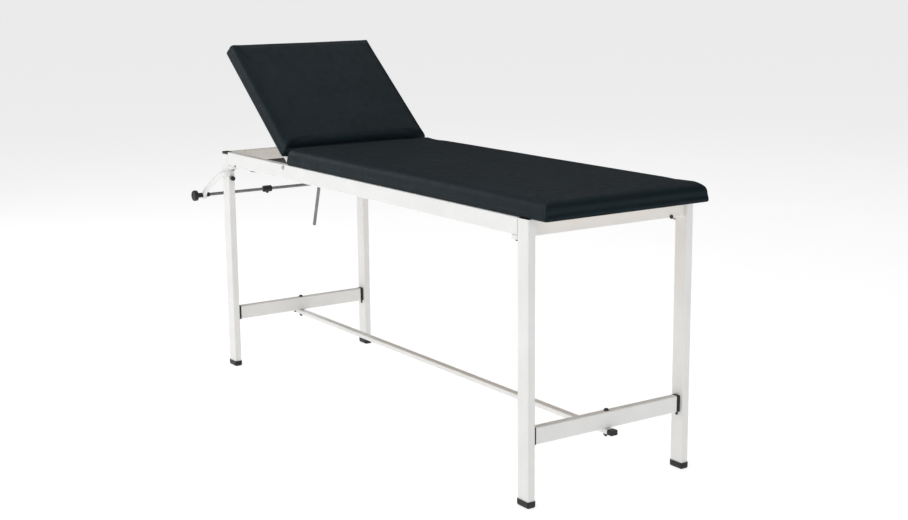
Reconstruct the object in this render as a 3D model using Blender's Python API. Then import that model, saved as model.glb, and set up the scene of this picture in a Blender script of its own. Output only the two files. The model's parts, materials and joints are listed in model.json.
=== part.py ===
"""Medical exam table: welded steel frame, two padded sections, a hinged backrest on a
clamped prop rod, and a paper roll holder at the head end.

Metres, +Z up. X runs along the table, head end at -X. Y = -0.3 is the near long side.
The backrest pieces are modelled lying flat and turned by their parent empty.
"""

import math

import bmesh
import bpy

# ---------------------------------------------------------------- driving dimensions
FRAME_LENGTH = 1.90
FRAME_WIDTH = 0.60
RAIL_TOP = 0.820
TUBE_WIDE = 0.050
TUBE_NARROW = 0.025
TUBE_WALL = 0.0015
TUBE_CORNER = 0.003
GAP = 0.0003
CORNER_STEPS = 3

LEG_BASE = 0.008
PLUG_THICKNESS = 0.008
LOW_BAR_BOTTOM = 0.178
BAR_PLUG = 0.012
STRETCHER_HEIGHT = 0.015
STRETCHER_END = 0.945
MID_RAIL_X = 0.150

MAIN_PAD_HEAD = -0.448
MAIN_PAD_FOOT = 1.022
PAD_WIDTH = 0.592
PAD_THICKNESS = 0.058
PAD_CORNER = 0.006
PAD_SHOULDER = 0.030
BOARD_THICKNESS = 0.010
BOARD_INSET = 0.008
BOARD_RAISE = 0.0012

HINGE_X = -0.459
HINGE_DROP = 0.010
BACK_ANGLE = 39.3
BACK_NEAR_END = 0.038
BACK_FAR_END = 0.576
BACK_WIDTH = 0.588
BACK_THICKNESS = 0.056
BACK_SHOULDER = 0.025
ARM_Y = 0.264
ARM_WIDTH = 0.015
ARM_BOTTOM = -0.0088
CROSS_TUBE_START = 0.292

PROP_RADIUS = 0.2659
GUIDE_ANGLE = 6.0
PROP_ROD_RADIUS = 0.006
PROP_ROD_LENGTH = 0.470
PROP_BAR_X = -0.758

ROLL_X = -1.100
ROLL_Z = 0.637
ROLL_RADIUS = 0.006
ROLL_HALF = 0.335
PAPER_ARM_RADIUS = 0.0095
ROLL_KNOB_RADIUS = 0.020
STOPPER_Y = -0.042

# ---------------------------------------------------------------- derived dimensions
HALF_LENGTH = FRAME_LENGTH / 2
HALF_WIDTH = FRAME_WIDTH / 2
END_X = HALF_LENGTH - TUBE_NARROW
INNER_X = HALF_LENGTH - TUBE_WIDE
INNER_Y = HALF_WIDTH - TUBE_NARROW
RAIL_Y = HALF_WIDTH - TUBE_NARROW / 2
RAIL_BOTTOM = RAIL_TOP - TUBE_WIDE
HINGE_Z = RAIL_TOP - HINGE_DROP
PAD_BOTTOM = RAIL_TOP + GAP
BOARD_BOTTOM = PAD_BOTTOM + BOARD_RAISE
PROP_TILT = (BACK_ANGLE - GUIDE_ANGLE) / 2
ORIGIN_SHIFT = (ROLL_KNOB_RADIUS - ROLL_X - MAIN_PAD_FOOT) / 2

bpy_data = bpy.data
for old in list(bpy_data.objects):
    bpy_data.objects.remove(old, do_unlink=True)


# ---------------------------------------------------------------- materials
def material(name, colour, roughness, metallic=0.0):
    made = bpy_data.materials.new(name)
    made.use_nodes = True
    shader = made.node_tree.nodes["Principled BSDF"]
    shader.inputs["Base Color"].default_value = (*colour, 1.0)
    shader.inputs["Roughness"].default_value = roughness
    shader.inputs["Metallic"].default_value = metallic
    made.diffuse_color = (*colour, 1.0)
    return made


WHITE_PAINT = material("white_paint", (0.84, 0.84, 0.82), 0.35)
VINYL = material("dark_vinyl", (0.018, 0.026, 0.034), 0.42)
BLACK_PLASTIC = material("black_plastic", (0.012, 0.012, 0.013), 0.45)
BLACK_PAINT = material("black_paint", (0.016, 0.016, 0.017), 0.40)
PLYWOOD = material("plywood", (0.56, 0.40, 0.24), 0.65)
STEEL = material("steel_rod", (0.50, 0.50, 0.51), 0.28, 1.0)
DARK_BOLT = material("dark_bolt", (0.06, 0.06, 0.065), 0.38, 1.0)


# ---------------------------------------------------------------- mesh helpers
def finish(name, mesh, look, parent=None):
    """Turns a bmesh into a named, smooth-shaded object."""
    bmesh.ops.remove_doubles(mesh, verts=mesh.verts, dist=1e-6)
    bmesh.ops.recalc_face_normals(mesh, faces=mesh.faces)
    data = bpy_data.meshes.new(name)
    mesh.to_mesh(data)
    mesh.free()
    data.shade_smooth()
    data.set_sharp_from_angle(angle=math.radians(35))
    made = bpy_data.objects.new(name, data)
    bpy.context.scene.collection.objects.link(made)
    if look is not None:
        made.data.materials.append(look)
    made.parent = parent
    return made


def rounded_rect(half_a, half_b, radius, steps=CORNER_STEPS):
    """Points of a rounded rectangle, anticlockwise, as (a, b) pairs."""
    points = []
    corners = ((1, 1, 0), (-1, 1, 90), (-1, -1, 180), (1, -1, 270))
    for sign_a, sign_b, start in corners:
        for step in range(steps + 1):
            angle = math.radians(start + 90 * step / steps)
            a = sign_a * (half_a - radius) + radius * math.cos(angle)
            b = sign_b * (half_b - radius) + radius * math.sin(angle)
            points.append((a, b))
    return points


def circle(radius, steps):
    return [
        (
            radius * math.cos(2 * math.pi * step / steps),
            radius * math.sin(2 * math.pi * step / steps),
        )
        for step in range(steps)
    ]


def place(axis, a, b, along):
    """A point from two cross-section values and one value along an axis."""
    if axis == "X":
        return (along, a, b)
    if axis == "Y":
        return (a, along, b)
    return (a, b, along)


def join_rings(mesh, first, second):
    count = len(first)
    for index in range(count):
        after = (index + 1) % count
        mesh.faces.new((first[index], first[after], second[after], second[index]))


def add_prism(mesh, axis, outline, start, end):
    """A solid prism of a convex or concave outline."""
    low = [mesh.verts.new(place(axis, a, b, start)) for a, b in outline]
    high = [mesh.verts.new(place(axis, a, b, end)) for a, b in outline]
    join_rings(mesh, low, high)
    mesh.faces.new(low)
    mesh.faces.new(high)


def prism(name, axis, outline, start, end, look, parent=None):
    mesh = bmesh.new()
    add_prism(mesh, axis, outline, start, end)
    return finish(name, mesh, look, parent)


def shifted(outline, a, b):
    return [(point[0] + a, point[1] + b) for point in outline]


def bar(name, axis, centre, size, span, look, corner=0.001, parent=None):
    """A solid bar with rounded long edges."""
    outline = shifted(rounded_rect(size[0] / 2, size[1] / 2, corner, 2), *centre)
    return prism(name, axis, outline, *span, look, parent)


def tube(name, axis, centre, size, span, look, parent=None):
    """A hollow rectangular tube, open at both ends."""
    mesh = bmesh.new()
    rings = []
    for wall, corner in ((0.0, TUBE_CORNER), (TUBE_WALL, TUBE_CORNER - TUBE_WALL)):
        outline = rounded_rect(size[0] / 2 - wall, size[1] / 2 - wall, corner)
        outline = shifted(outline, *centre)
        for along in span:
            rings.append([mesh.verts.new(place(axis, a, b, along)) for a, b in outline])
    outer_low, outer_high, inner_low, inner_high = rings
    join_rings(mesh, outer_low, outer_high)
    join_rings(mesh, inner_high, inner_low)
    join_rings(mesh, inner_low, outer_low)
    join_rings(mesh, outer_high, inner_high)
    return finish(name, mesh, look, parent)


def add_lathe(mesh, axis, centre, profile, steps, offset=(0.0, 0.0, 0.0)):
    """A solid of revolution. The profile is a list of (radius, along) points."""
    rings = []
    for radius, along in profile:
        if radius == 0:
            ring = [(0.0, 0.0)]
        else:
            ring = circle(radius, steps)
        verts = []
        for a, b in ring:
            x, y, z = place(axis, a + centre[0], b + centre[1], along)
            verts.append(mesh.verts.new((x + offset[0], y + offset[1], z + offset[2])))
        rings.append(verts)
    closed = profile[0][0] != 0 or profile[-1][0] != 0
    pairs = list(zip(rings, rings[1:]))
    if closed:
        pairs.append((rings[-1], rings[0]))
    for first, second in pairs:
        if len(first) > 1 and len(second) > 1:
            join_rings(mesh, first, second)
            continue
        tip, ring = (first, second) if len(first) == 1 else (second, first)
        for index in range(len(ring)):
            after = (index + 1) % len(ring)
            mesh.faces.new((tip[0], ring[index], ring[after]))


def lathe(name, axis, centre, profile, look, steps=16, parent=None):
    mesh = bmesh.new()
    add_lathe(mesh, axis, centre, profile, steps)
    return finish(name, mesh, look, parent)


def cylinders(name, specs):
    """Cutters in one object. Each spec is (axis, centre, radius, start, end)."""
    mesh = bmesh.new()
    for axis, centre, radius, start, end in specs:
        outline = shifted(circle(radius, 14), *centre)
        add_prism(mesh, axis, outline, start, end)
    return finish(name, mesh, None)


def boolean(target, other, operation):
    """An exact boolean that hides its other operand."""
    other.parent = target.parent
    other.hide_render = True
    other.display_type = "WIRE"
    modifier = target.modifiers.new(operation.title(), "BOOLEAN")
    modifier.operation = operation
    modifier.solver = "EXACT"
    modifier.object = other
    return target


def drill(target, specs):
    boolean(target, cylinders(target.name + "_holes", specs), "DIFFERENCE")


def empty(name, location, parent=None, turn_y=0.0):
    made = bpy_data.objects.new(name, None)
    made.empty_display_size = 0.05
    made.location = location
    made.rotation_euler = (0.0, math.radians(turn_y), 0.0)
    made.parent = parent
    bpy.context.scene.collection.objects.link(made)
    return made


def dome_bolt(head_radius, head, shank_radius, tip, nut=None):
    """Profile of a bolt: head is (outer, inner) along the axis, tip ends the shank."""
    outer, inner = head
    way = 1 if inner > outer else -1
    edge = outer + way * abs(inner - outer) * 0.5
    profile = [
        (0.0, outer),
        (head_radius * 0.7, outer),
        (head_radius, edge),
        (head_radius, inner),
        (shank_radius, inner),
    ]
    if nut:
        start, end, radius = nut
        profile += [(shank_radius, start), (radius, start), (radius, end)]
        profile += [(shank_radius, end)]
    profile += [(shank_radius, tip), (0.0, tip)]
    return profile


# ---------------------------------------------------------------- legs
SIDES = (("near", -1), ("far", 1))
ENDS = (("head", -1), ("foot", 1))
ARM_KNOB_Z = 0.722

for end_name, end in ENDS:
    for side_name, side in SIDES:
        tag = f"{end_name}_{side_name}"
        leg_x = end * (HALF_LENGTH - TUBE_WIDE / 2)
        leg_y = side * RAIL_Y
        plug_base = RAIL_TOP - GAP * 3 - PLUG_THICKNESS
        proud = end_name == "head"
        leg_top = plug_base - GAP if proud else plug_base + PLUG_THICKNESS
        plug_trim = 0.0 if proud else 2 * (TUBE_WALL + GAP)
        leg = tube(
            f"leg_{tag}",
            "Z",
            (leg_x, leg_y),
            (TUBE_WIDE, TUBE_NARROW),
            (LEG_BASE, leg_top),
            WHITE_PAINT,
        )
        if end_name == "head":
            drill(leg, [("X", (leg_y, ARM_KNOB_Z), 0.0036, leg_x, leg_x + 0.04)])
        bar(
            f"leg_plug_{tag}",
            "Z",
            (leg_x, leg_y),
            (TUBE_WIDE - plug_trim, TUBE_NARROW - plug_trim),
            (plug_base, plug_base + PLUG_THICKNESS),
            BLACK_PLASTIC,
            corner=TUBE_CORNER,
        )
        mesh = bmesh.new()
        cup = []
        for half_grow, corner, height in (
            (-0.0020, 0.002, 0.0),
            (0.0010, 0.004, 0.0025),
            (0.0020, 0.005, 0.006),
            (0.0020, 0.005, 0.020),
            (GAP, 0.0033, 0.020),
            (GAP, 0.0033, LEG_BASE - GAP),
        ):
            outline = rounded_rect(
                TUBE_WIDE / 2 + half_grow,
                TUBE_NARROW / 2 + half_grow,
                corner,
            )
            outline = shifted(outline, leg_x, leg_y)
            cup.append([mesh.verts.new((a, b, height)) for a, b in outline])
        for first, second in zip(cup, cup[1:]):
            join_rings(mesh, first, second)
        mesh.faces.new(cup[0])
        mesh.faces.new(cup[-1])
        finish(f"foot_cap_{tag}", mesh, BLACK_PLASTIC)

# ---------------------------------------------------------------- top frame
TAB_LENGTH = 0.028
TAB_HEIGHT = 0.012
TAB_X = INNER_X - GAP - TAB_LENGTH / 2

for side_name, side in SIDES:
    rail = tube(
        f"side_rail_{side_name}",
        "X",
        (side * RAIL_Y, RAIL_TOP - TUBE_WIDE / 2),
        (TUBE_NARROW, TUBE_WIDE),
        (GAP - INNER_X, INNER_X - GAP),
        WHITE_PAINT,
    )
    holes = [("Y", (HINGE_X, HINGE_Z), 0.0044, side * 0.26, side * 0.31)]
    for end_name, end in ENDS:
        hole = ("Z", (end * TAB_X, side * RAIL_Y), 0.0033, 0.740, 0.785)
        holes.append(hole)
    holes = [
        (axis, centre, radius, min(low, high), max(low, high))
        for axis, centre, radius, low, high in holes
    ]
    drill(rail, holes)

for end_name, end in ENDS:
    tube(
        f"{end_name}_cross_rail",
        "Y",
        (end * END_X, RAIL_TOP - TUBE_WIDE / 2),
        (TUBE_NARROW, TUBE_WIDE),
        (GAP - INNER_Y, INNER_Y - GAP),
        WHITE_PAINT,
    )

tube(
    "mid_cross_rail",
    "Y",
    (MID_RAIL_X, RAIL_TOP - TUBE_WIDE / 2),
    (TUBE_NARROW, TUBE_WIDE),
    (GAP - INNER_Y, INNER_Y - GAP),
    WHITE_PAINT,
)

for end_name, end in ENDS:
    for side_name, side in SIDES:
        tag = f"{end_name}_{side_name}"
        tab_top = RAIL_BOTTOM - GAP
        tab_low = tab_top - TAB_HEIGHT
        tab = bar(
            f"corner_tab_{tag}",
            "Z",
            (end * TAB_X, side * RAIL_Y),
            (TAB_LENGTH, TUBE_NARROW),
            (tab_low, tab_top),
            WHITE_PAINT,
            corner=0.002,
        )
        drill(tab, [("Z", (end * TAB_X, side * RAIL_Y), 0.0033, 0.740, 0.785)])
        lathe(
            f"tab_bolt_{tag}",
            "Z",
            (end * TAB_X, side * RAIL_Y),
            dome_bolt(
                0.0075,
                (tab_low - GAP - 0.005, tab_low - GAP),
                0.0030,
                RAIL_BOTTOM + 0.010,
            ),
            DARK_BOLT,
            steps=14,
        )

# ---------------------------------------------------------------- low bars, stretcher
LOW_BAR_TOP = LOW_BAR_BOTTOM + TUBE_WIDE
PLUG_FACE = INNER_Y - GAP
for end_name, end in ENDS:
    low_bar = tube(
        f"lower_bar_{end_name}",
        "Y",
        (end * END_X, LOW_BAR_BOTTOM + TUBE_WIDE / 2),
        (TUBE_NARROW, TUBE_WIDE),
        (GAP + BAR_PLUG - PLUG_FACE, PLUG_FACE - BAR_PLUG - GAP),
        WHITE_PAINT,
    )
    drill(low_bar, [("Z", (end * END_X, 0.0), 0.0044, 0.150, 0.250)])
    for side_name, side in SIDES:
        faces = sorted((side * PLUG_FACE, side * (PLUG_FACE - BAR_PLUG)))
        bar(
            f"bar_plug_{end_name}_{side_name}",
            "Y",
            (end * END_X, LOW_BAR_BOTTOM + TUBE_WIDE / 2),
            (TUBE_NARROW + 0.001, TUBE_WIDE + 0.001),
            faces,
            BLACK_PLASTIC,
            corner=TUBE_CORNER,
        )

STRETCHER_Z = LOW_BAR_BOTTOM - GAP * 3 - STRETCHER_HEIGHT / 2
stretcher = tube(
    "stretcher",
    "X",
    (0.0, STRETCHER_Z),
    (TUBE_NARROW, STRETCHER_HEIGHT),
    (-STRETCHER_END, STRETCHER_END),
    WHITE_PAINT,
)
drill(
    stretcher,
    [("Z", (end * END_X, 0.0), 0.0044, 0.150, 0.250) for _, end in ENDS],
)
for end_name, end in ENDS:
    lathe(
        f"stretcher_bolt_{end_name}",
        "Z",
        (end * END_X, 0.0),
        dome_bolt(
            0.0075,
            (LOW_BAR_TOP + GAP + 0.006, LOW_BAR_TOP + GAP),
            0.0040,
            STRETCHER_Z - STRETCHER_HEIGHT / 2 - 0.011,
            nut=(
                STRETCHER_Z - STRETCHER_HEIGHT / 2 - GAP,
                STRETCHER_Z - STRETCHER_HEIGHT / 2 - 0.0065,
                0.0075,
            ),
        ),
        DARK_BOLT,
        steps=14,
    )
    faces = sorted((end * (STRETCHER_END + GAP), end * (STRETCHER_END + 0.017)))
    bar(
        f"stretcher_plug_{end_name}",
        "X",
        (0.0, STRETCHER_Z),
        (TUBE_NARROW + 0.001, STRETCHER_HEIGHT + 0.001),
        faces,
        BLACK_PLASTIC,
        corner=0.003,
    )

# ---------------------------------------------------------------- black bar with fork
GUIDE_X = HINGE_X - PROP_RADIUS * math.cos(math.radians(GUIDE_ANGLE))
GUIDE_Z = HINGE_Z - PROP_RADIUS * math.sin(math.radians(GUIDE_ANGLE))
prop_bar = tube(
    "prop_cross_bar",
    "Y",
    (PROP_BAR_X, 0.780),
    (0.025, 0.040),
    (GAP - INNER_Y, INNER_Y - GAP),
    BLACK_PAINT,
)
for side_name, side in SIDES:
    ear_low, ear_high = sorted((side * 0.0170, side * 0.0200))
    ear = prism(
        f"fork_ear_{side_name}",
        "Y",
        [
            (PROP_BAR_X + 0.0120, 0.7680),
            (GUIDE_X + 0.0100, 0.7680),
            (GUIDE_X + 0.0100, 0.7930),
            (PROP_BAR_X + 0.0120, 0.7930),
        ],
        ear_low,
        ear_high,
        BLACK_PAINT,
    )
    boolean(prop_bar, ear, "UNION")
drill(prop_bar, [("Y", (GUIDE_X, GUIDE_Z), 0.0042, -0.05, 0.05)])


# ---------------------------------------------------------------- pads and boards
def pad(name, centre_x, half_x, half_y, bottom, thickness, shoulder, parent=None):
    """A cushion with a rounded shoulder and a pocket for its board below."""
    mesh = bmesh.new()
    pocket = BOARD_INSET - GAP
    roof = bottom + BOARD_RAISE + BOARD_THICKNESS + GAP
    levels = [(pocket, roof), (pocket, bottom), (0.002, bottom), (0.0, bottom + 0.002)]
    top = bottom + thickness
    for step in range(7):
        angle = math.radians(90 * step / 6)
        inset = shoulder * (1 - math.cos(angle))
        levels.append((inset, top - shoulder + shoulder * math.sin(angle)))
    rings = []
    for inset, height in levels:
        radius = max(PAD_CORNER - inset, 0.003)
        outline = rounded_rect(half_x - inset, half_y - inset, radius, 3)
        outline = shifted(outline, centre_x, 0.0)
        rings.append([mesh.verts.new((a, b, height)) for a, b in outline])
    for first, second in zip(rings, rings[1:]):
        join_rings(mesh, first, second)
    mesh.faces.new(rings[0])
    mesh.faces.new(rings[-1])
    return finish(name, mesh, VINYL, parent)


def board(name, centre_x, half_x, half_y, bottom, parent=None):
    outline = rounded_rect(half_x - BOARD_INSET, half_y - BOARD_INSET, 0.003, 2)
    outline = shifted(outline, centre_x, 0.0)
    top = bottom + BOARD_THICKNESS
    return prism(name, "Z", outline, bottom, top, PLYWOOD, parent)


main_centre = (MAIN_PAD_HEAD + MAIN_PAD_FOOT) / 2
main_half = (MAIN_PAD_FOOT - MAIN_PAD_HEAD) / 2
pad(
    "main_pad",
    main_centre,
    main_half,
    PAD_WIDTH / 2,
    PAD_BOTTOM,
    PAD_THICKNESS,
    PAD_SHOULDER,
)
board("main_board", main_centre, main_half, PAD_WIDTH / 2, BOARD_BOTTOM)

# ---------------------------------------------------------------- backrest
hinge = empty("hinge_axis", (HINGE_X, 0.0, HINGE_Z), turn_y=BACK_ANGLE)
back_bottom = PAD_BOTTOM - HINGE_Z
back_centre = -(BACK_NEAR_END + BACK_FAR_END) / 2
back_half = (BACK_FAR_END - BACK_NEAR_END) / 2
pad(
    "backrest_pad",
    back_centre,
    back_half,
    BACK_WIDTH / 2,
    back_bottom,
    BACK_THICKNESS,
    BACK_SHOULDER,
    hinge,
)
board_under = back_bottom + BOARD_RAISE
board("backrest_board", back_centre, back_half, BACK_WIDTH / 2, board_under, hinge)

arm_top = board_under - GAP
arm_end = -(CROSS_TUBE_START + 0.160)
arm_outline = [
    (0.0140, -0.0050),
    (0.0140, 0.0050),
    (0.0100, back_bottom - GAP),
    (-0.0530, back_bottom - GAP),
    (-0.0560, arm_top),
    (arm_end, arm_top),
    (arm_end, ARM_BOTTOM),
    (0.0100, ARM_BOTTOM),
]
for side_name, side in SIDES:
    arm_faces = sorted((side * (ARM_Y - ARM_WIDTH / 2), side * (ARM_Y + ARM_WIDTH / 2)))
    back_arm = prism(
        f"back_arm_{side_name}",
        "Y",
        arm_outline,
        *arm_faces,
        WHITE_PAINT,
        hinge,
    )
    drill(back_arm, [("Y", (0.0, 0.0), 0.0044, -0.3, 0.3)])
cross_half = ARM_Y - ARM_WIDTH / 2 - GAP
tube(
    "back_cross_tube",
    "Y",
    (-CROSS_TUBE_START - 0.0125, (arm_top + ARM_BOTTOM) / 2),
    (0.025, arm_top - ARM_BOTTOM),
    (-cross_half, cross_half),
    WHITE_PAINT,
    hinge,
)

for side_name, side in SIDES:
    arm_inner = side * (ARM_Y - ARM_WIDTH / 2)
    profile = dome_bolt(
        0.0068,
        (side * (HALF_WIDTH + GAP + 0.0045), side * (HALF_WIDTH + GAP)),
        0.0040,
        arm_inner - side * 0.0100,
        nut=(arm_inner - side * GAP, arm_inner - side * 0.0065, 0.0075),
    )
    lathe(
        f"hinge_bolt_{side_name}",
        "Y",
        (HINGE_X, HINGE_Z),
        profile,
        STEEL,
        steps=16,
    )

# ---------------------------------------------------------------- prop bracket and rod
pivot = empty(
    "prop_pivot_axis",
    (-PROP_RADIUS, 0.0, 0.0),
    parent=hinge,
    turn_y=PROP_TILT - BACK_ANGLE,
)
bracket = bar(
    "prop_bracket",
    "Z",
    (-PROP_RADIUS, 0.0),
    (0.044, 0.044),
    (arm_top - 0.0024, arm_top),
    BLACK_PAINT,
    parent=hinge,
)
for side_name, side in SIDES:
    cheek_low, cheek_high = sorted((side * 0.0085, side * 0.0115))
    cheek = prism(
        f"bracket_cheek_{side_name}",
        "Y",
        [
            (-PROP_RADIUS - 0.0120, arm_top - 0.001),
            (-PROP_RADIUS - 0.0080, -0.0085),
            (-PROP_RADIUS + 0.0080, -0.0085),
            (-PROP_RADIUS + 0.0120, arm_top - 0.001),
        ],
        cheek_low,
        cheek_high,
        BLACK_PAINT,
        hinge,
    )
    boolean(bracket, cheek, "UNION")
pin = lathe(
    "bracket_pin",
    "Y",
    (-PROP_RADIUS, 0.0),
    [
        (0.0, -0.0145),
        (0.0050, -0.0145),
        (0.0050, -0.0110),
        (0.0030, -0.0110),
        (0.0030, 0.0110),
        (0.0050, 0.0110),
        (0.0050, 0.0145),
        (0.0, 0.0145),
    ],
    None,
    steps=14,
    parent=hinge,
)
boolean(bracket, pin, "UNION")

prop_rod = lathe(
    "prop_rod",
    "Z",
    (0.0, 0.0),
    [
        (0.0, -PROP_ROD_LENGTH),
        (0.0030, -PROP_ROD_LENGTH + 0.0006),
        (PROP_ROD_RADIUS, -PROP_ROD_LENGTH + 0.0030),
        (PROP_ROD_RADIUS, -0.0050),
        (0.0, -0.0050),
    ],
    STEEL,
    steps=20,
    parent=pivot,
)
eye = prism("rod_eye", "Y", circle(0.0072, 20), -0.0080, 0.0080, STEEL, pivot)
boolean(prop_rod, eye, "UNION")
drill(prop_rod, [("Y", (0.0, 0.0), 0.0034, -0.05, 0.05)])

guide = empty("clamp_axis", (GUIDE_X, 0.0, GUIDE_Z), turn_y=PROP_TILT)
clamp = prism(
    "rod_clamp",
    "Y",
    rounded_rect(0.0105, 0.0095, 0.0030, 3),
    -0.0160,
    0.0160,
    BLACK_PLASTIC,
    guide,
)
trunnion = prism("trunnion", "Y", circle(0.0039, 16), -0.0225, 0.0225, None, guide)
boolean(clamp, trunnion, "UNION")
drill(
    clamp,
    [
        ("Z", (0.0, 0.0), PROP_ROD_RADIUS + 0.0003, -0.03, 0.03),
        ("X", (0.0, 0.0), 0.0030, 0.0, 0.03),
    ],
)
lathe(
    "clamp_knob",
    "X",
    (0.0, 0.0),
    [
        (0.0, 0.0068),
        (0.0027, 0.0068),
        (0.0027, 0.0115),
        (0.0070, 0.0115),
        (0.0070, 0.0150),
        (0.0120, 0.0170),
        (0.0130, 0.0190),
        (0.0130, 0.0270),
        (0.0115, 0.0290),
        (0.0, 0.0290),
    ],
    BLACK_PLASTIC,
    steps=24,
    parent=guide,
)

# ---------------------------------------------------------------- paper roll holder
ARM_PATH = (
    (-0.884, 0.7390),
    (-0.920, 0.7390),
    (-0.938, 0.7355),
    (-0.963, 0.7235),
    (-1.018, 0.6960),
    (-1.052, 0.6770),
    (-1.078, 0.6610),
    (-1.0925, 0.6490),
    (-1.0990, 0.6400),
    (-1.1005, 0.6250),
)
ARM_HOLE_RADIUS = 0.0065


def sweep(name, path, y, radius, look, steps=16):
    """A round bar along a path in the XZ plane at one Y."""
    mesh = bmesh.new()
    rings = []
    last = len(path) - 1
    for index, (x, z) in enumerate(path):
        before = path[max(index - 1, 0)]
        after = path[min(index + 1, last)]
        run = math.hypot(after[0] - before[0], after[1] - before[1])
        normal = (-(after[1] - before[1]) / run, (after[0] - before[0]) / run)
        verts = []
        for a, b in circle(radius, steps):
            verts.append(mesh.verts.new((x + normal[0] * a, y + b, z + normal[1] * a)))
        rings.append(verts)
    for first, second in zip(rings, rings[1:]):
        join_rings(mesh, first, second)
    mesh.faces.new(rings[0])
    mesh.faces.new(rings[-1])
    return finish(name, mesh, look)


roll_axis = empty("roll_axis", (ROLL_X, 0.0, ROLL_Z))
arm_y = HALF_WIDTH + PAPER_ARM_RADIUS + GAP
for side_name, side in SIDES:
    arm = sweep(
        f"paper_arm_{side_name}",
        ARM_PATH,
        side * arm_y,
        PAPER_ARM_RADIUS,
        WHITE_PAINT,
    )
    drill(arm, [("Y", (ROLL_X, ROLL_Z), ARM_HOLE_RADIUS, -0.4, 0.4)])

lathe(
    "roll_rod",
    "Y",
    (0.0, 0.0),
    [(0.0, -ROLL_HALF), (ROLL_RADIUS, -ROLL_HALF), (ROLL_RADIUS, ROLL_HALF), (0.0, ROLL_HALF)],
    STEEL,
    steps=20,
    parent=roll_axis,
)
HUB_START = arm_y + PAPER_ARM_RADIUS + 0.0006
for side_name, side in SIDES:
    knob_profile = [
        (0.0, ROLL_HALF + GAP),
        (ROLL_RADIUS + GAP, ROLL_HALF + GAP),
        (ROLL_RADIUS + GAP, HUB_START),
        (0.0090, HUB_START),
        (0.0095, 0.3405),
        (0.0185, 0.3405),
        (ROLL_KNOB_RADIUS, 0.3425),
        (ROLL_KNOB_RADIUS, 0.3535),
        (0.0185, 0.3555),
        (0.0100, 0.3555),
        (0.0085, 0.3545),
        (0.0, 0.3545),
    ]
    lathe(
        f"roll_knob_{side_name}",
        "Y",
        (0.0, 0.0),
        [(radius, side * along) for radius, along in knob_profile],
        BLACK_PLASTIC,
        steps=32,
        parent=roll_axis,
    )
    collar_face = HALF_WIDTH - GAP
    collar_profile = [
        (ROLL_RADIUS + GAP, collar_face),
        (0.0085, collar_face),
        (0.0085, collar_face - 0.010),
        (ROLL_RADIUS + GAP, collar_face - 0.010),
    ]
    lathe(
        f"roll_collar_{side_name}",
        "Y",
        (0.0, 0.0),
        [(radius, side * along) for radius, along in collar_profile],
        BLACK_PLASTIC,
        steps=20,
        parent=roll_axis,
    )
    knob_face = -INNER_X + GAP
    lathe(
        f"arm_knob_{side_name}",
        "X",
        (side * RAIL_Y, ARM_KNOB_Z),
        [
            (0.0, knob_face - 0.012),
            (0.0030, knob_face - 0.012),
            (0.0030, knob_face),
            (0.0060, knob_face),
            (0.0060, knob_face + 0.004),
            (0.0085, knob_face + 0.006),
            (0.0085, knob_face + 0.014),
            (0.0070, knob_face + 0.016),
            (0.0, knob_face + 0.016),
        ],
        BLACK_PLASTIC,
        steps=18,
    )

stopper_axis = empty("stopper_axis", (0.0, STOPPER_Y, 0.0), parent=roll_axis)
stopper = lathe(
    "stopper",
    "Y",
    (0.0, 0.0),
    [
        (ROLL_RADIUS + GAP, -0.0175),
        (0.0110, -0.0175),
        (0.0125, -0.0160),
        (0.0125, 0.0160),
        (0.0110, 0.0175),
        (ROLL_RADIUS + GAP, 0.0175),
    ],
    BLACK_PLASTIC,
    steps=24,
    parent=stopper_axis,
)
screw_boss = prism("screw_boss", "Z", circle(0.0055, 16), -0.0165, -0.0090, None, stopper_axis)
boolean(stopper, screw_boss, "UNION")

# ---------------------------------------------------------------- origin
# The origin lies on the floor, under the centre of the whole table's bounding box.
for piece in bpy_data.objects:
    if piece.parent is None:
        piece.location.x += ORIGIN_SHIFT
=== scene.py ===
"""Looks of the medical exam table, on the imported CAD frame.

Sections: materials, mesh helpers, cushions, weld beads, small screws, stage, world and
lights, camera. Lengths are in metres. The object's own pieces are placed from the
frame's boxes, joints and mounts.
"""

import json
import math

import bmesh
import bpy
from mathutils import Matrix, Vector, noise


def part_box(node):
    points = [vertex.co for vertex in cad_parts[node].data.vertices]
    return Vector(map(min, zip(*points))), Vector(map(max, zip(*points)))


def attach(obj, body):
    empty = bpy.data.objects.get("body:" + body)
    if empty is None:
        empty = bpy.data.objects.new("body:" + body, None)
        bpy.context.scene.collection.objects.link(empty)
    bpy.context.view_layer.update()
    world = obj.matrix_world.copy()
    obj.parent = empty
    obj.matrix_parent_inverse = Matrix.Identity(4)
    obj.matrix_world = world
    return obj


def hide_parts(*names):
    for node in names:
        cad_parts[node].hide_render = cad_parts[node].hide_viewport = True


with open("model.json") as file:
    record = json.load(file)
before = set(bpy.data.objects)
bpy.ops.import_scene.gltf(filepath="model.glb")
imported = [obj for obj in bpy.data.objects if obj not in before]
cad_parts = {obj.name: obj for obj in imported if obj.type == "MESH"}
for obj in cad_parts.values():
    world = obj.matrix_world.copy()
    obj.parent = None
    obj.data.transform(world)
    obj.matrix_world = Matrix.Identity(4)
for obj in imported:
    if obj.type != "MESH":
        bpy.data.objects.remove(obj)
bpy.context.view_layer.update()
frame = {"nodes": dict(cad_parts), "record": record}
NODES = frame["nodes"]
RECORD = frame["record"]
JOINTS = {joint["name"]: joint for joint in RECORD["behaviour"]["joints"]}
MOUNTS = {mount["name"]: mount for mount in RECORD["mounts"]}
SCENE = bpy.context.scene


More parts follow.
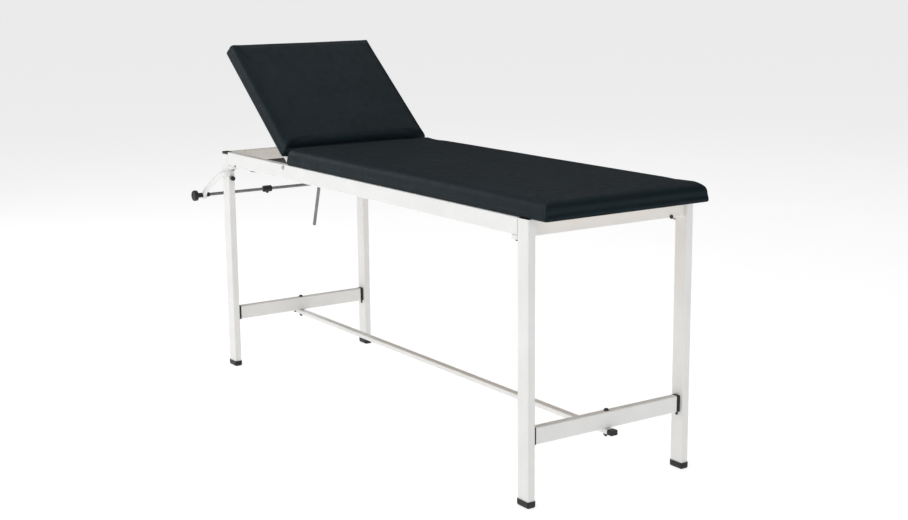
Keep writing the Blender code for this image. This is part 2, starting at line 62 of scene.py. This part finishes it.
# ---------------------------------------------------------------- material helpers
class Graph:
    """A small wrapper that adds nodes to one material."""

    def __init__(self, name):
        self.material = bpy.data.materials.new(name)
        self.material.use_nodes = True
        self.tree = self.material.node_tree
        self.shader = self.tree.nodes["Principled BSDF"]
        self.coords = self.tree.nodes.new("ShaderNodeTexCoord")

    def node(self, kind, **values):
        made = self.tree.nodes.new(kind)
        for key, value in values.items():
            if key in made.inputs:
                made.inputs[key].default_value = value
            else:
                setattr(made, key, value)
        return made

    def link(self, source, target):
        self.tree.links.new(source, target)

    def mapped(self, scale=(1.0, 1.0, 1.0)):
        mapping = self.node("ShaderNodeMapping")
        mapping.inputs["Scale"].default_value = scale
        self.link(self.coords.outputs["Object"], mapping.inputs["Vector"])
        return mapping.outputs["Vector"]

    def noise(self, scale, detail=2.0, stretch=(1.0, 1.0, 1.0), roughness=0.5):
        made = self.node("ShaderNodeTexNoise", Scale=scale, Detail=detail)
        made.inputs["Roughness"].default_value = roughness
        self.link(self.mapped(stretch), made.inputs["Vector"])
        return made.outputs["Fac"]

    def ramp(self, source, stops):
        made = self.node("ShaderNodeValToRGB")
        ramp = made.color_ramp
        while len(ramp.elements) < len(stops):
            ramp.elements.new(0.5)
        for element, (position, colour) in zip(ramp.elements, stops):
            element.position = position
            element.color = (*colour, 1.0)
        self.link(source, made.inputs["Fac"])
        return made.outputs["Color"]

    def remap(self, source, low, high, new_low, new_high):
        made = self.node("ShaderNodeMapRange")
        for key, value in (
            ("From Min", low),
            ("From Max", high),
            ("To Min", new_low),
            ("To Max", new_high),
        ):
            made.inputs[key].default_value = value
        self.link(source, made.inputs["Value"])
        return made.outputs["Result"]

    def math(self, operation, first, second):
        made = self.node("ShaderNodeMath", operation=operation)
        for slot, value in zip(made.inputs, (first, second)):
            if isinstance(value, (int, float)):
                slot.default_value = value
            else:
                self.link(value, slot)
        return made.outputs["Value"]

    def blend(self, factor, first, second):
        made = self.node("ShaderNodeMix", data_type="RGBA")
        self.link(factor, made.inputs["Factor"])
        for slot, value in ((made.inputs[6], first), (made.inputs[7], second)):
            if isinstance(value, tuple):
                slot.default_value = (*value, 1.0)
            else:
                self.link(value, slot)
        return made.outputs[2]

    def bump(self, height, strength, distance, below=None):
        made = self.node("ShaderNodeBump", Strength=strength, Distance=distance)
        self.link(height, made.inputs["Height"])
        if below is not None:
            self.link(below, made.inputs["Normal"])
        return made.outputs["Normal"]

    def finish(self, colour=None, roughness=None, normal=None, **constants):
        if colour is not None:
            self.link(colour, self.shader.inputs["Base Color"])
        if roughness is not None:
            self.link(roughness, self.shader.inputs["Roughness"])
        if normal is not None:
            self.link(normal, self.shader.inputs["Normal"])
        for key, value in constants.items():
            self.shader.inputs[key.replace("_", " ")].default_value = value
        return self.material


SCUFF_FULL, SCUFF_END = 0.02, 0.16  # heights between which the scuffs fade away


def powder_coat(name, light, dark):
    """Baked paint: fine orange peel, slight mottling, and scuffs near the floor."""
    g = Graph(name)
    mottle = g.noise(9.0, 3.0)
    colour = g.ramp(mottle, [(0.3, dark), (0.7, light)])
    position = g.node("ShaderNodeSeparateXYZ")
    g.link(g.coords.outputs["Object"], position.inputs["Vector"])
    low = g.remap(position.outputs["Z"], SCUFF_FULL, SCUFF_END, 1.0, 0.0)
    scuffs = g.remap(g.noise(60.0, 5.0, (1.0, 1.0, 0.25), 0.65), 0.56, 0.68, 0.0, 0.30)
    dusty = tuple(channel * 0.72 for channel in dark)
    colour = g.blend(g.math("MULTIPLY", low, scuffs), colour, dusty)
    rough = g.remap(g.noise(26.0, 4.0), 0.3, 0.7, 0.30, 0.40)
    peel = g.bump(g.noise(420.0, 2.0), 0.10, 0.0006)
    wave = g.bump(g.noise(75.0, 1.0), 0.05, 0.0012, peel)
    return g.finish(colour, rough, wave, Coat_Weight=0.18, Coat_Roughness=0.15)


GRAIN_WOBBLE = 0.0016  # how far the cells of the vinyl grain are pushed out of shape


def vinyl(name, base, lit):
    """Upholstery vinyl: pebbled grain with painted shade darkening its creases, and a soft
    mottling.
    """
    g = Graph(name)
    cloud = g.noise(7.0, 4.0)
    colour = g.ramp(cloud, [(0.35, base), (0.72, lit)])
    cells = g.node("ShaderNodeTexVoronoi", Scale=620.0)
    cells.feature = "DISTANCE_TO_EDGE"
    warp = g.node("ShaderNodeVectorMath", operation="ADD")
    wobble = g.node("ShaderNodeTexNoise", Scale=240.0, Detail=2.0)
    g.link(g.coords.outputs["Object"], wobble.inputs["Vector"])
    scaled = g.node("ShaderNodeVectorMath", operation="SCALE")
    scaled.inputs["Scale"].default_value = GRAIN_WOBBLE
    g.link(wobble.outputs["Color"], scaled.inputs[0])
    g.link(g.coords.outputs["Object"], warp.inputs[0])
    g.link(scaled.outputs["Vector"], warp.inputs[1])
    g.link(warp.outputs["Vector"], cells.inputs["Vector"])
    grain = g.remap(cells.outputs["Distance"], 0.0, 0.30, 0.0, 1.0)
    # Painted shade: the colour is darkened towards the grain's cell edges, down to 0.82 in
    # the creases.
    crease_shade = g.remap(grain, 0.0, 1.0, 0.82, 1.0)
    crease_shaded_colour = g.node("ShaderNodeMix", data_type="RGBA", blend_type="MULTIPLY")
    crease_shaded_colour.inputs["Factor"].default_value = 1.0
    g.link(colour, crease_shaded_colour.inputs[6])
    g.link(crease_shade, crease_shaded_colour.inputs[7])
    rough = g.remap(g.noise(34.0, 4.0), 0.3, 0.7, 0.42, 0.54)
    fine = g.bump(grain, 0.32, 0.0004)
    soft = g.bump(g.noise(48.0, 3.0), 0.10, 0.0016, fine)
    return g.finish(
        crease_shaded_colour.outputs[2],
        rough,
        soft,
        Specular_IOR_Level=0.16,
        Specular_Tint=(0.66, 0.90, 1.0, 1.0),
    )


def moulded(name, colour, low_rough, high_rough):
    """Injection-moulded plastic with a fine sparked texture."""
    g = Graph(name)
    pale = tuple(channel * 1.7 + 0.004 for channel in colour)
    tone = g.ramp(g.noise(45.0, 4.0), [(0.35, colour), (0.75, pale)])
    rough = g.remap(g.noise(120.0, 3.0), 0.3, 0.7, low_rough, high_rough)
    spark = g.bump(g.noise(1500.0, 2.0), 0.16, 0.0003)
    return g.finish(tone, rough, spark, Specular_IOR_Level=0.3)


def steel(name, colour, rough_low, rough_high):
    """Bare or blackened steel: a fine even grain and a faint patina."""
    g = Graph(name)
    dull = tuple(channel * 0.72 for channel in colour)
    tone = g.ramp(g.noise(24.0, 5.0), [(0.35, dull), (0.65, colour)])
    rough = g.remap(g.noise(300.0, 3.0), 0.3, 0.7, rough_low, rough_high)
    grain = g.bump(g.noise(700.0, 2.0), 0.12, 0.0002)
    return g.finish(tone, rough, grain, Metallic=1.0)


def plywood(name):
    """Birch plywood: a stretched grain in three tones, with a matching bump."""
    g = Graph(name)
    grain = g.noise(28.0, 6.0, (1.0, 9.0, 9.0), 0.6)
    colour = g.ramp(
        grain,
        [(0.30, (0.36, 0.22, 0.11)), (0.52, (0.55, 0.38, 0.22)), (0.75, (0.66, 0.49, 0.31))],
    )
    rough = g.remap(grain, 0.3, 0.7, 0.52, 0.72)
    return g.finish(colour, rough, g.bump(grain, 0.25, 0.0005))


WHITE = powder_coat("white_powder_coat", (0.86, 0.86, 0.845), (0.81, 0.81, 0.795))
BLACK_PAINT = powder_coat("black_powder_coat", (0.030, 0.030, 0.031), (0.018, 0.018, 0.019))
VINYL = vinyl("dark_vinyl_grain", (0.0046, 0.0096, 0.0126), (0.0068, 0.0136, 0.0172))
PLASTIC = moulded("black_moulded", (0.010, 0.010, 0.011), 0.36, 0.50)
ROD_STEEL = steel("drawn_steel", (0.25, 0.25, 0.26), 0.24, 0.38)
BOLT_STEEL = steel("black_oxide", (0.085, 0.085, 0.090), 0.30, 0.46)
STAPLE_STEEL = steel("staple_wire", (0.62, 0.62, 0.63), 0.22, 0.34)
BOARD = plywood("birch_plywood")

LOOKS = {
    "white_paint": WHITE,
    "dark_vinyl": VINYL,
    "black_plastic": PLASTIC,
    "black_paint": BLACK_PAINT,
    "plywood": BOARD,
    "steel_rod": ROD_STEEL,
    "dark_bolt": BOLT_STEEL,
}
for subpart in RECORD["subparts"]:
    for material_slot in NODES[subpart["node"]].material_slots:
        material_slot.material = LOOKS[subpart["material_slot"]]
# The hinge bolts are bright, unlike the other steel pieces.
for side_name in ("near", "far"):
    NODES[f"hinge_bolt_{side_name}"].material_slots[0].material = STAPLE_STEEL


# ---------------------------------------------------------------- mesh helpers
def make_object(name, mesh, look, body, sharp=35.0):
    """Turns a bmesh into a shaded object that rides on a body."""
    bmesh.ops.recalc_face_normals(mesh, faces=mesh.faces)
    data = bpy.data.meshes.new(name)
    mesh.to_mesh(data)
    mesh.free()
    data.shade_smooth()
    data.set_sharp_from_angle(angle=math.radians(sharp))
    data.materials.append(look)
    made = bpy.data.objects.new(name, data)
    SCENE.collection.objects.link(made)
    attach(made, body)
    return made


def outline(half_x, half_y, radius, counts, corner_steps):
    """A rounded rectangle with evenly divided straight edges, anticlockwise."""
    count_x, count_y = counts
    points = []
    corners = ((1, 1, 0), (-1, 1, 90), (-1, -1, 180), (1, -1, 270))
    for sign_x, sign_y, start in corners:
        centre = Vector((sign_x * (half_x - radius), sign_y * (half_y - radius)))
        for step in range(corner_steps + 1):
            angle = math.radians(start + 90 * step / corner_steps)
            arm = Vector((math.cos(angle), math.sin(angle)))
            points.append(centre + radius * arm)
        along_x = start in (0, 180)
        run = 2 * (half_x - radius) if along_x else 2 * (half_y - radius)
        angle = math.radians(start + 90)
        way = Vector((-math.sin(angle), math.cos(angle)))
        count = count_x if along_x else count_y
        first = points[-1]
        for step in range(1, count):
            points.append(first + way * run * step / count)
    return points


def join_rings(mesh, first, second):
    count = len(first)
    for index in range(count):
        after = (index + 1) % count
        mesh.faces.new((first[index], first[after], second[after], second[index]))


def add_box(mesh, low, high, matrix=Matrix()):
    corners = []
    for x in (low[0], high[0]):
        for y in (low[1], high[1]):
            for z in (low[2], high[2]):
                corners.append(mesh.verts.new(matrix @ Vector((x, y, z))))
    for face in (
        (0, 1, 3, 2),
        (4, 6, 7, 5),
        (0, 4, 5, 1),
        (2, 3, 7, 6),
        (0, 2, 6, 4),
        (1, 5, 7, 3),
    ):
        mesh.faces.new([corners[index] for index in face])


def add_lathe(mesh, matrix, profile, steps):
    """Revolves (radius, height) points round the matrix's Z axis."""
    rings = []
    for radius, height in profile:
        count = 1 if radius == 0 else steps
        ring = []
        for step in range(count):
            angle = 2 * math.pi * step / steps
            point = Vector((radius * math.cos(angle), radius * math.sin(angle), height))
            ring.append(mesh.verts.new(matrix @ point))
        rings.append(ring)
    for first, second in zip(rings, rings[1:]):
        if len(first) > 1 and len(second) > 1:
            join_rings(mesh, first, second)
            continue
        tip, ring = (first, second) if len(first) == 1 else (second, first)
        for index in range(len(ring)):
            after = (index + 1) % len(ring)
            mesh.faces.new((tip[0], ring[index], ring[after]))


def facing(location, direction):
    """A matrix at location whose Z axis points along direction."""
    turn = Vector(direction).to_track_quat("Z", "Y").to_matrix().to_4x4()
    return Matrix.Translation(location) @ turn


# ---------------------------------------------------------------- cushions
HINGE = Vector(JOINTS["backrest_hinge"]["pos_m"])
BACK_NORMAL = Vector(MOUNTS["backrest_face"]["axis"])
BACK_ANGLE = math.atan2(BACK_NORMAL.x, BACK_NORMAL.z)
BACK_MATRIX = Matrix.Translation(HINGE) @ Matrix.Rotation(BACK_ANGLE, 4, "Y")
CORNER_STEPS = 4
GRID_STEP = 0.022  # the cloth grid's spacing
START_SHRINK = 0.0012  # how far the cloth starts inside the CAD pad
MOST_MOVE = 0.0035  # the furthest that the cloth may move a point
CLOTH_FRAMES = 20
POCKET_GAP = 0.0004  # between the board's edge and the vinyl round it
HEM_GAP = 0.0002  # between the board's faces and the vinyl
PUCKER_DEPTH = 0.0011
WAVER_DEPTH = 0.0007


def node_box(node, inverse=Matrix()):
    """A CAD node's box in a local frame: (lowest corner, highest corner)."""
    points = [inverse @ vertex.co for vertex in NODES[node].data.vertices]
    low = Vector([min(point[axis] for point in points) for axis in range(3)])
    high = Vector([max(point[axis] for point in points) for axis in range(3)])
    return low, high


def inflate(piece, pinned):
    """Cloth under slight pressure, then a cap on how far each point may move."""
    group = piece.vertex_groups.new(name="pin")
    group.add(pinned, 1.0, "REPLACE")
    modifier = piece.modifiers.new("Cloth", "CLOTH")
    settings = modifier.settings
    settings.quality = 6
    settings.mass = 0.25
    settings.tension_stiffness = 25.0
    settings.compression_stiffness = 25.0
    settings.shear_stiffness = 12.0
    settings.bending_stiffness = 1.5
    settings.use_pressure = True
    settings.uniform_pressure_force = 3.0
    settings.vertex_group_mass = "pin"
    settings.effector_weights.gravity = 0.0
    modifier.point_cache.frame_start = 1
    modifier.point_cache.frame_end = CLOTH_FRAMES
    for number in range(1, CLOTH_FRAMES + 1):
        SCENE.frame_set(number)
    graph = bpy.context.evaluated_depsgraph_get()
    moved = [vertex.co.copy() for vertex in piece.evaluated_get(graph).data.vertices]
    piece.modifiers.remove(modifier)
    for vertex, place in zip(piece.data.vertices, moved):
        step = place - vertex.co
        if step.length > MOST_MOVE:
            step *= MOST_MOVE / step.length
        vertex.co += step
    piece.vertex_groups.clear()
    SCENE.frame_set(1)


def subdivide(piece, levels):
    """Applies a subdivision surface to the mesh."""
    modifier = piece.modifiers.new("Subdivision", "SUBSURF")
    modifier.levels = levels
    modifier.render_levels = levels
    graph = bpy.context.evaluated_depsgraph_get()
    data = bpy.data.meshes.new_from_object(piece.evaluated_get(graph))
    piece.modifiers.remove(modifier)
    piece.data = data


def wrinkle(piece, half_x, half_y, centre_x, bottom, top, seed):
    """Small puckers above the stapled edge, pleats at the corners, a soft waver."""
    offset = Vector((seed * 3.7, seed * 1.9, 0.0))
    normals = [vertex.normal.copy() for vertex in piece.data.vertices]
    for vertex, normal in zip(piece.data.vertices, normals):
        place = vertex.co
        height = place.z - bottom
        if height < 0.0035:
            continue
        near_x = half_x - abs(place.x - centre_x)
        near_y = half_y - abs(place.y)
        side = math.exp(-min(near_x, near_y) / 0.020)
        pucker = math.exp(-height / 0.014) * side
        waver = noise.noise(offset + Vector((place.x * 26, place.y * 26, place.z * 8)))
        shift = PUCKER_DEPTH * pucker * waver
        corner = math.exp(-(near_x + near_y) / 0.028)
        angle = math.atan2(near_y, near_x)
        pleat = math.sin(angle * 12 + seed) * math.exp(-height / 0.030)
        shift += PUCKER_DEPTH * corner * pleat
        broad = noise.noise(offset + Vector((place.x * 5, place.y * 5, 0.0)))
        if place.z > top - 0.010:
            shift += WAVER_DEPTH * broad
        vertex.co = place + normal * shift


def fill_grid(mesh, ring, counts):
    """Fills a closed ring of points with an even grid of quads."""
    wide = counts[0] + CORNER_STEPS
    deep = counts[1] + CORNER_STEPS
    turned = ring[CORNER_STEPS // 2 :] + ring[: CORNER_STEPS // 2]
    far = turned[: wide + 1]
    left = turned[wide : wide + deep + 1]
    near = turned[wide + deep : 2 * wide + deep + 1][::-1]
    right = (turned[2 * wide + deep :] + turned[:1])[::-1]
    rows = [far]
    for step in range(1, deep):
        v = step / deep
        row = [right[step]]
        for index in range(1, wide):
            u = index / wide
            place = (1 - v) * far[index].co + v * near[index].co
            place += (1 - u) * right[step].co + u * left[step].co
            place -= (1 - u) * (1 - v) * far[0].co + u * (1 - v) * far[-1].co
            place -= (1 - u) * v * near[0].co + u * v * near[-1].co
            row.append(mesh.verts.new(place))
        row.append(left[step])
        rows.append(row)
    rows.append(near)
    for first, second in zip(rows, rows[1:]):
        for index in range(wide):
            mesh.faces.new(
                (first[index], first[index + 1], second[index + 1], second[index])
            )


def cushion(name, node, board, matrix, shoulder, corner, hem, body, seed):
    """A vinyl pad that wraps round its board and is stapled beneath it.

    It returns (centre x, half length, half width, height of the hem's underside).
    """
    inverse = matrix.inverted()
    low, high = node_box(node, inverse)
    board_low, board_high = node_box(board, inverse)
    centre_x = (low.x + high.x) / 2
    half_x = (high.x - low.x) / 2 - START_SHRINK
    half_y = (high.y - low.y) / 2 - START_SHRINK
    top = high.z - START_SHRINK
    pocket = half_x - (board_high.x - board_low.x) / 2 - POCKET_GAP
    hem_top = board_low.z - HEM_GAP
    hem_low = low.z + HEM_GAP
    levels = [
        (pocket, board_high.z + HEM_GAP),
        (pocket, hem_top),
        (hem, hem_top),
        (hem, hem_low),
        (0.0045, hem_low),
        (0.0015, hem_low + 0.0006),
        (0.0002, hem_low + 0.0024),
        (0.0, hem_low + 0.0050),
        (0.0, board_high.z),
    ]
    pinned_levels = len(levels)
    rise = top - shoulder - board_high.z
    for step in range(1, 4):
        levels.append((0.0, board_high.z + rise * step / 3))
    for step in range(1, 8):
        angle = math.radians(90 * step / 7)
        inset = shoulder * (1 - math.cos(angle))
        levels.append((inset, top - shoulder + shoulder * math.sin(angle)))
    levels.append((shoulder + 0.012, top))
    counts = (round(half_x * 2 / GRID_STEP), round(half_y * 2 / GRID_STEP))
    mesh = bmesh.new()
    rings = []
    for inset, height in levels:
        points = outline(half_x - inset, half_y - inset, corner, counts, CORNER_STEPS)
        ring = [mesh.verts.new((p.x + centre_x, p.y, height)) for p in points]
        rings.append(ring)
    for first, second in zip(rings, rings[1:]):
        join_rings(mesh, first, second)
    fill_grid(mesh, rings[0], counts)
    fill_grid(mesh, rings[-1], counts)
    piece = make_object(name, mesh, VINYL, body, 80.0)
    pinned = [
        vertex.index
        for vertex in piece.data.vertices
        if vertex.co.z <= levels[pinned_levels - 1][1] + 1e-5
    ]
    inflate(piece, pinned)
    subdivide(piece, 2)
    wrinkle(piece, half_x, half_y, centre_x, low.z, top, seed)
    piece.data.transform(matrix)
    piece.data.shade_smooth()
    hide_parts(node)
    return centre_x, half_x, half_y, hem_low


CORNER_CLEAR = 0.06  # how far the staples stay from a board's corners
STAPLE_TILT = 0.35


def staples(name, matrix, size, inset, spacing, body):
    """Upholstery staples along the hem under a board."""
    centre_x, half_x, half_y, surface = size
    mesh = bmesh.new()
    wire, half_crown = 0.0003, 0.0050
    reach_x, reach_y = half_x - CORNER_CLEAR, half_y - CORNER_CLEAR
    for side in (-1, 1):
        count = int(reach_x * 2 / spacing)
        for index in range(count + 1):
            x = centre_x - reach_x + index * reach_x * 2 / count
            tilt = STAPLE_TILT * noise.noise(Vector((x * 90, side, 0.3)))
            spot = Matrix.Translation((x, side * (half_y - inset), surface))
            turned = matrix @ spot @ Matrix.Rotation(tilt, 4, "Z")
            add_box(mesh, (-half_crown, -wire, -wire), (half_crown, wire, wire), turned)
        count = int(reach_y * 2 / spacing)
        for index in range(count + 1):
            y = -reach_y + index * reach_y * 2 / count
            tilt = STAPLE_TILT * noise.noise(Vector((side, y * 90, 0.7)))
            spot = Matrix.Translation((centre_x + side * (half_x - inset), y, surface))
            turned = matrix @ spot @ Matrix.Rotation(tilt, 4, "Z")
            add_box(mesh, (-wire, -half_crown, -wire), (wire, half_crown, wire), turned)
    return make_object(name, mesh, STAPLE_STEEL, body)


main_size = cushion(
    "main_cushion",
    "main_pad",
    "main_board",
    Matrix(),
    shoulder=0.027,
    corner=0.007,
    hem=0.034,
    body="frame",
    seed=1.0,
)
back_size = cushion(
    "backrest_cushion",
    "backrest_pad",
    "backrest_board",
    BACK_MATRIX,
    shoulder=0.022,
    corner=0.007,
    hem=0.0125,
    body="backrest",
    seed=2.0,
)
staples("main_staples", Matrix(), main_size, 0.027, 0.042, "frame")
staples("backrest_staples", BACK_MATRIX, back_size, 0.0095, 0.036, "backrest")

# ---------------------------------------------------------------- weld beads
WELD_RADIUS = 0.0013
WELD_STEP = 0.0016
WELD_SIDES = 8
CORNER_ROUND = 0.004  # where a bead stops, short of the tube's corner


def weld(mesh, first, second):
    """A rippled bead from one point to another."""
    steps = max(2, round((second - first).length / WELD_STEP))
    dense = [first.lerp(second, step / steps) for step in range(steps)]
    dense.append(second)
    rings = []
    for index, point in enumerate(dense):
        before = dense[max(index - 1, 0)]
        after = dense[min(index + 1, len(dense) - 1)]
        turn = (after - before).to_track_quat("Z", "Y").to_matrix()
        ripple = 1.0 + 0.16 * math.sin(index * 2.1) + 0.2 * noise.noise(point * 300)
        size = WELD_RADIUS * ripple
        if index in (0, len(dense) - 1):
            size *= 0.35
        ring = []
        for step in range(WELD_SIDES):
            angle = 2 * math.pi * step / WELD_SIDES
            arm = turn @ Vector((math.cos(angle), math.sin(angle), 0.0))
            ring.append(mesh.verts.new(point + arm * size))
        rings.append(ring)
    for first, second in zip(rings, rings[1:]):
        join_rings(mesh, first, second)
    mesh.faces.new(rings[0])
    mesh.faces.new(rings[-1])


def weld_tube_end(mesh, node, axis, end, skip):
    """Beads round the end of a tube, leaving out the (axis, sign) sides in skip."""
    low, high = (Vector(corner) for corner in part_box(node))
    other = [index for index in range(3) if index != axis]
    along = high[axis] if end > 0 else low[axis]
    for index in other:
        across = other[1] if index == other[0] else other[0]
        for sign in (-1, 1):
            if (index, sign) in skip:
                continue
            first, second = Vector((0, 0, 0)), Vector((0, 0, 0))
            face = high[index] if sign > 0 else low[index]
            first[axis] = second[axis] = along
            first[index] = second[index] = face
            first[across] = low[across] + CORNER_ROUND
            second[across] = high[across] - CORNER_ROUND
            weld(mesh, first, second)


beads = bmesh.new()
for side_name, side in (("near", -1), ("far", 1)):
    for end in (-1, 1):
        skip = {(1, side), (2, 1), (2, -1)}
        weld_tube_end(beads, f"side_rail_{side_name}", 0, end, skip)
for rail in ("head_cross_rail", "foot_cross_rail", "mid_cross_rail", "prop_cross_bar"):
    for end in (-1, 1):
        weld_tube_end(beads, rail, 1, end, {(2, 1)})
make_object("weld_beads", beads, WHITE, "frame", 60.0)

# ---------------------------------------------------------------- small screws
SOCKET_HEAD = [  # (radius, height), from under the face to the bottom of the socket
    (0.0, -0.0006),
    (0.0045, -0.0006),
    (0.0052, 0.0),
    (0.0052, 0.0022),
    (0.0046, 0.0030),
    (0.0026, 0.0032),
    (0.0024, 0.0014),
    (0.0, 0.0014),
]


def screws(name, spots, scale):
    """Button-head screws on the frame, at (location, direction) spots."""
    mesh = bmesh.new()
    profile = [(radius * scale, height * scale) for radius, height in SOCKET_HEAD]
    for location, direction in spots:
        add_lathe(mesh, facing(location, direction), profile, 20)
    make_object(name, mesh, BOLT_STEEL, "frame", 30.0)


rail_low, rail_high = (Vector(corner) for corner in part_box("side_rail_near"))
leg_high = Vector(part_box("leg_head_near")[1])
foot_rail_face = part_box("foot_cross_rail")[1][0]
rail_mid = (rail_low.z + rail_high.z) / 2
RAIL_SCREW_AHEAD = 0.061  # from the head leg's face
RAIL_SCREW_DROP = 0.021  # below the rail's middle
FOOT_SCREW_Y = 0.225
FOOT_SCREW_DROP = 0.022
LEG_SCREW_DROP = 0.008  # below the low bar
screw_x = leg_high.x + RAIL_SCREW_AHEAD
screw_z = rail_mid - RAIL_SCREW_DROP
screws(
    "rail_screws",
    [
        (Vector((screw_x, rail_low.y, screw_z)), (0, -1, 0)),
        (Vector((screw_x, -rail_low.y, screw_z)), (0, 1, 0)),
    ],
    0.7,
)
foot_spot = Vector((foot_rail_face, FOOT_SCREW_Y, rail_mid - FOOT_SCREW_DROP))
screws("foot_rail_screw", [(foot_spot, (1, 0, 0))], 1.15)
leg_spots = []
for end_name in ("head", "foot"):
    bar_low, bar_high = (Vector(corner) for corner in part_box(f"lower_bar_{end_name}"))
    bar_x = (bar_low.x + bar_high.x) / 2
    for side in (-1, 1):
        spot = Vector((bar_x, -side * leg_high.y, bar_low.z - LEG_SCREW_DROP))
        leg_spots.append((spot, (0, -side, 0)))
screws("leg_screws", leg_spots, 0.9)

# ---------------------------------------------------------------- stage
FLOOR_REACH = 400.0  # past the horizon that the camera sees
FLOOR_DROP = 0.0005
floor_mesh = bmesh.new()
bmesh.ops.create_grid(floor_mesh, x_segments=8, y_segments=8, size=FLOOR_REACH)
floor_data = bpy.data.meshes.new("floor")
floor_mesh.to_mesh(floor_data)
floor_mesh.free()
floor = bpy.data.objects.new("floor", floor_data)
floor.location.z = -FLOOR_DROP
SCENE.collection.objects.link(floor)
floor_graph = Graph("pale_floor")
floor_tone = floor_graph.ramp(
    floor_graph.noise(2.0, 2.0),
    [(0.3, (0.39, 0.39, 0.39)), (0.7, (0.41, 0.41, 0.41))],
)
floor_graph.finish(
    floor_tone,
    Roughness=0.8,
    Specular_IOR_Level=0.1,
    Emission_Color=(1.0, 1.0, 1.0, 1.0),
    Emission_Strength=0.80,
)
floor.data.materials.append(floor_graph.material)

# ---------------------------------------------------------------- world and lights
world = bpy.data.worlds.new("studio")
world.use_nodes = True
background = world.node_tree.nodes["Background"]
background.inputs["Color"].default_value = (1.0, 1.0, 1.0, 1.0)
background.inputs["Strength"].default_value = 0.07
SCENE.world = world


def area_light(name, location, target, size, power):
    data = bpy.data.lights.new(name, "AREA")
    data.shape = "RECTANGLE"
    data.size, data.size_y = size
    data.energy = power
    light = bpy.data.objects.new(name, data)
    light.location = location
    aim = Vector(target) - Vector(location)
    light.rotation_euler = aim.to_track_quat("-Z", "Y").to_euler()
    SCENE.collection.objects.link(light)


area_light("ceiling", (0.0, 0.0, 5.0), (0.0, 0.0, 0.0), (9.0, 9.0), 205.0)
area_light("key", (0.6, -4.2, 1.9), (0.0, 0.0, 0.6), (3.6, 2.0), 58.0)
area_light("edge", (-3.6, -2.4, 2.5), (0.0, 0.0, 0.8), (3.0, 2.0), 50.0)
area_light("fill", (4.6, 0.6, 1.1), (0.0, 0.0, 0.6), (3.0, 2.0), 30.0)
SCENE.view_settings.view_transform = "Standard"

# ---------------------------------------------------------------- camera
CAMERA_PLACE = (4.119, -2.645, 1.491)
CAMERA_AZIMUTH = 146.01
CAMERA_ELEVATION = -11.30
CAMERA_ROLL = -0.506
camera_data = bpy.data.cameras.new("camera")
camera_data.lens = 58.48
camera_data.sensor_width = 36.0
camera = bpy.data.objects.new("camera", camera_data)
azimuth, elevation = math.radians(CAMERA_AZIMUTH), math.radians(CAMERA_ELEVATION)
forward = Vector(
    (
        math.cos(elevation) * math.cos(azimuth),
        math.cos(elevation) * math.sin(azimuth),
        math.sin(elevation),
    )
)
right = forward.cross(Vector((0, 0, 1))).normalized()
up = right.cross(forward)
roll = math.radians(CAMERA_ROLL)
tilted_right = math.cos(roll) * right + math.sin(roll) * up
tilted_up = math.cos(roll) * up - math.sin(roll) * right
turn = Matrix((tilted_right, tilted_up, -forward)).transposed().to_4x4()
camera.matrix_world = Matrix.Translation(CAMERA_PLACE) @ turn
SCENE.collection.objects.link(camera)
SCENE.camera = camera
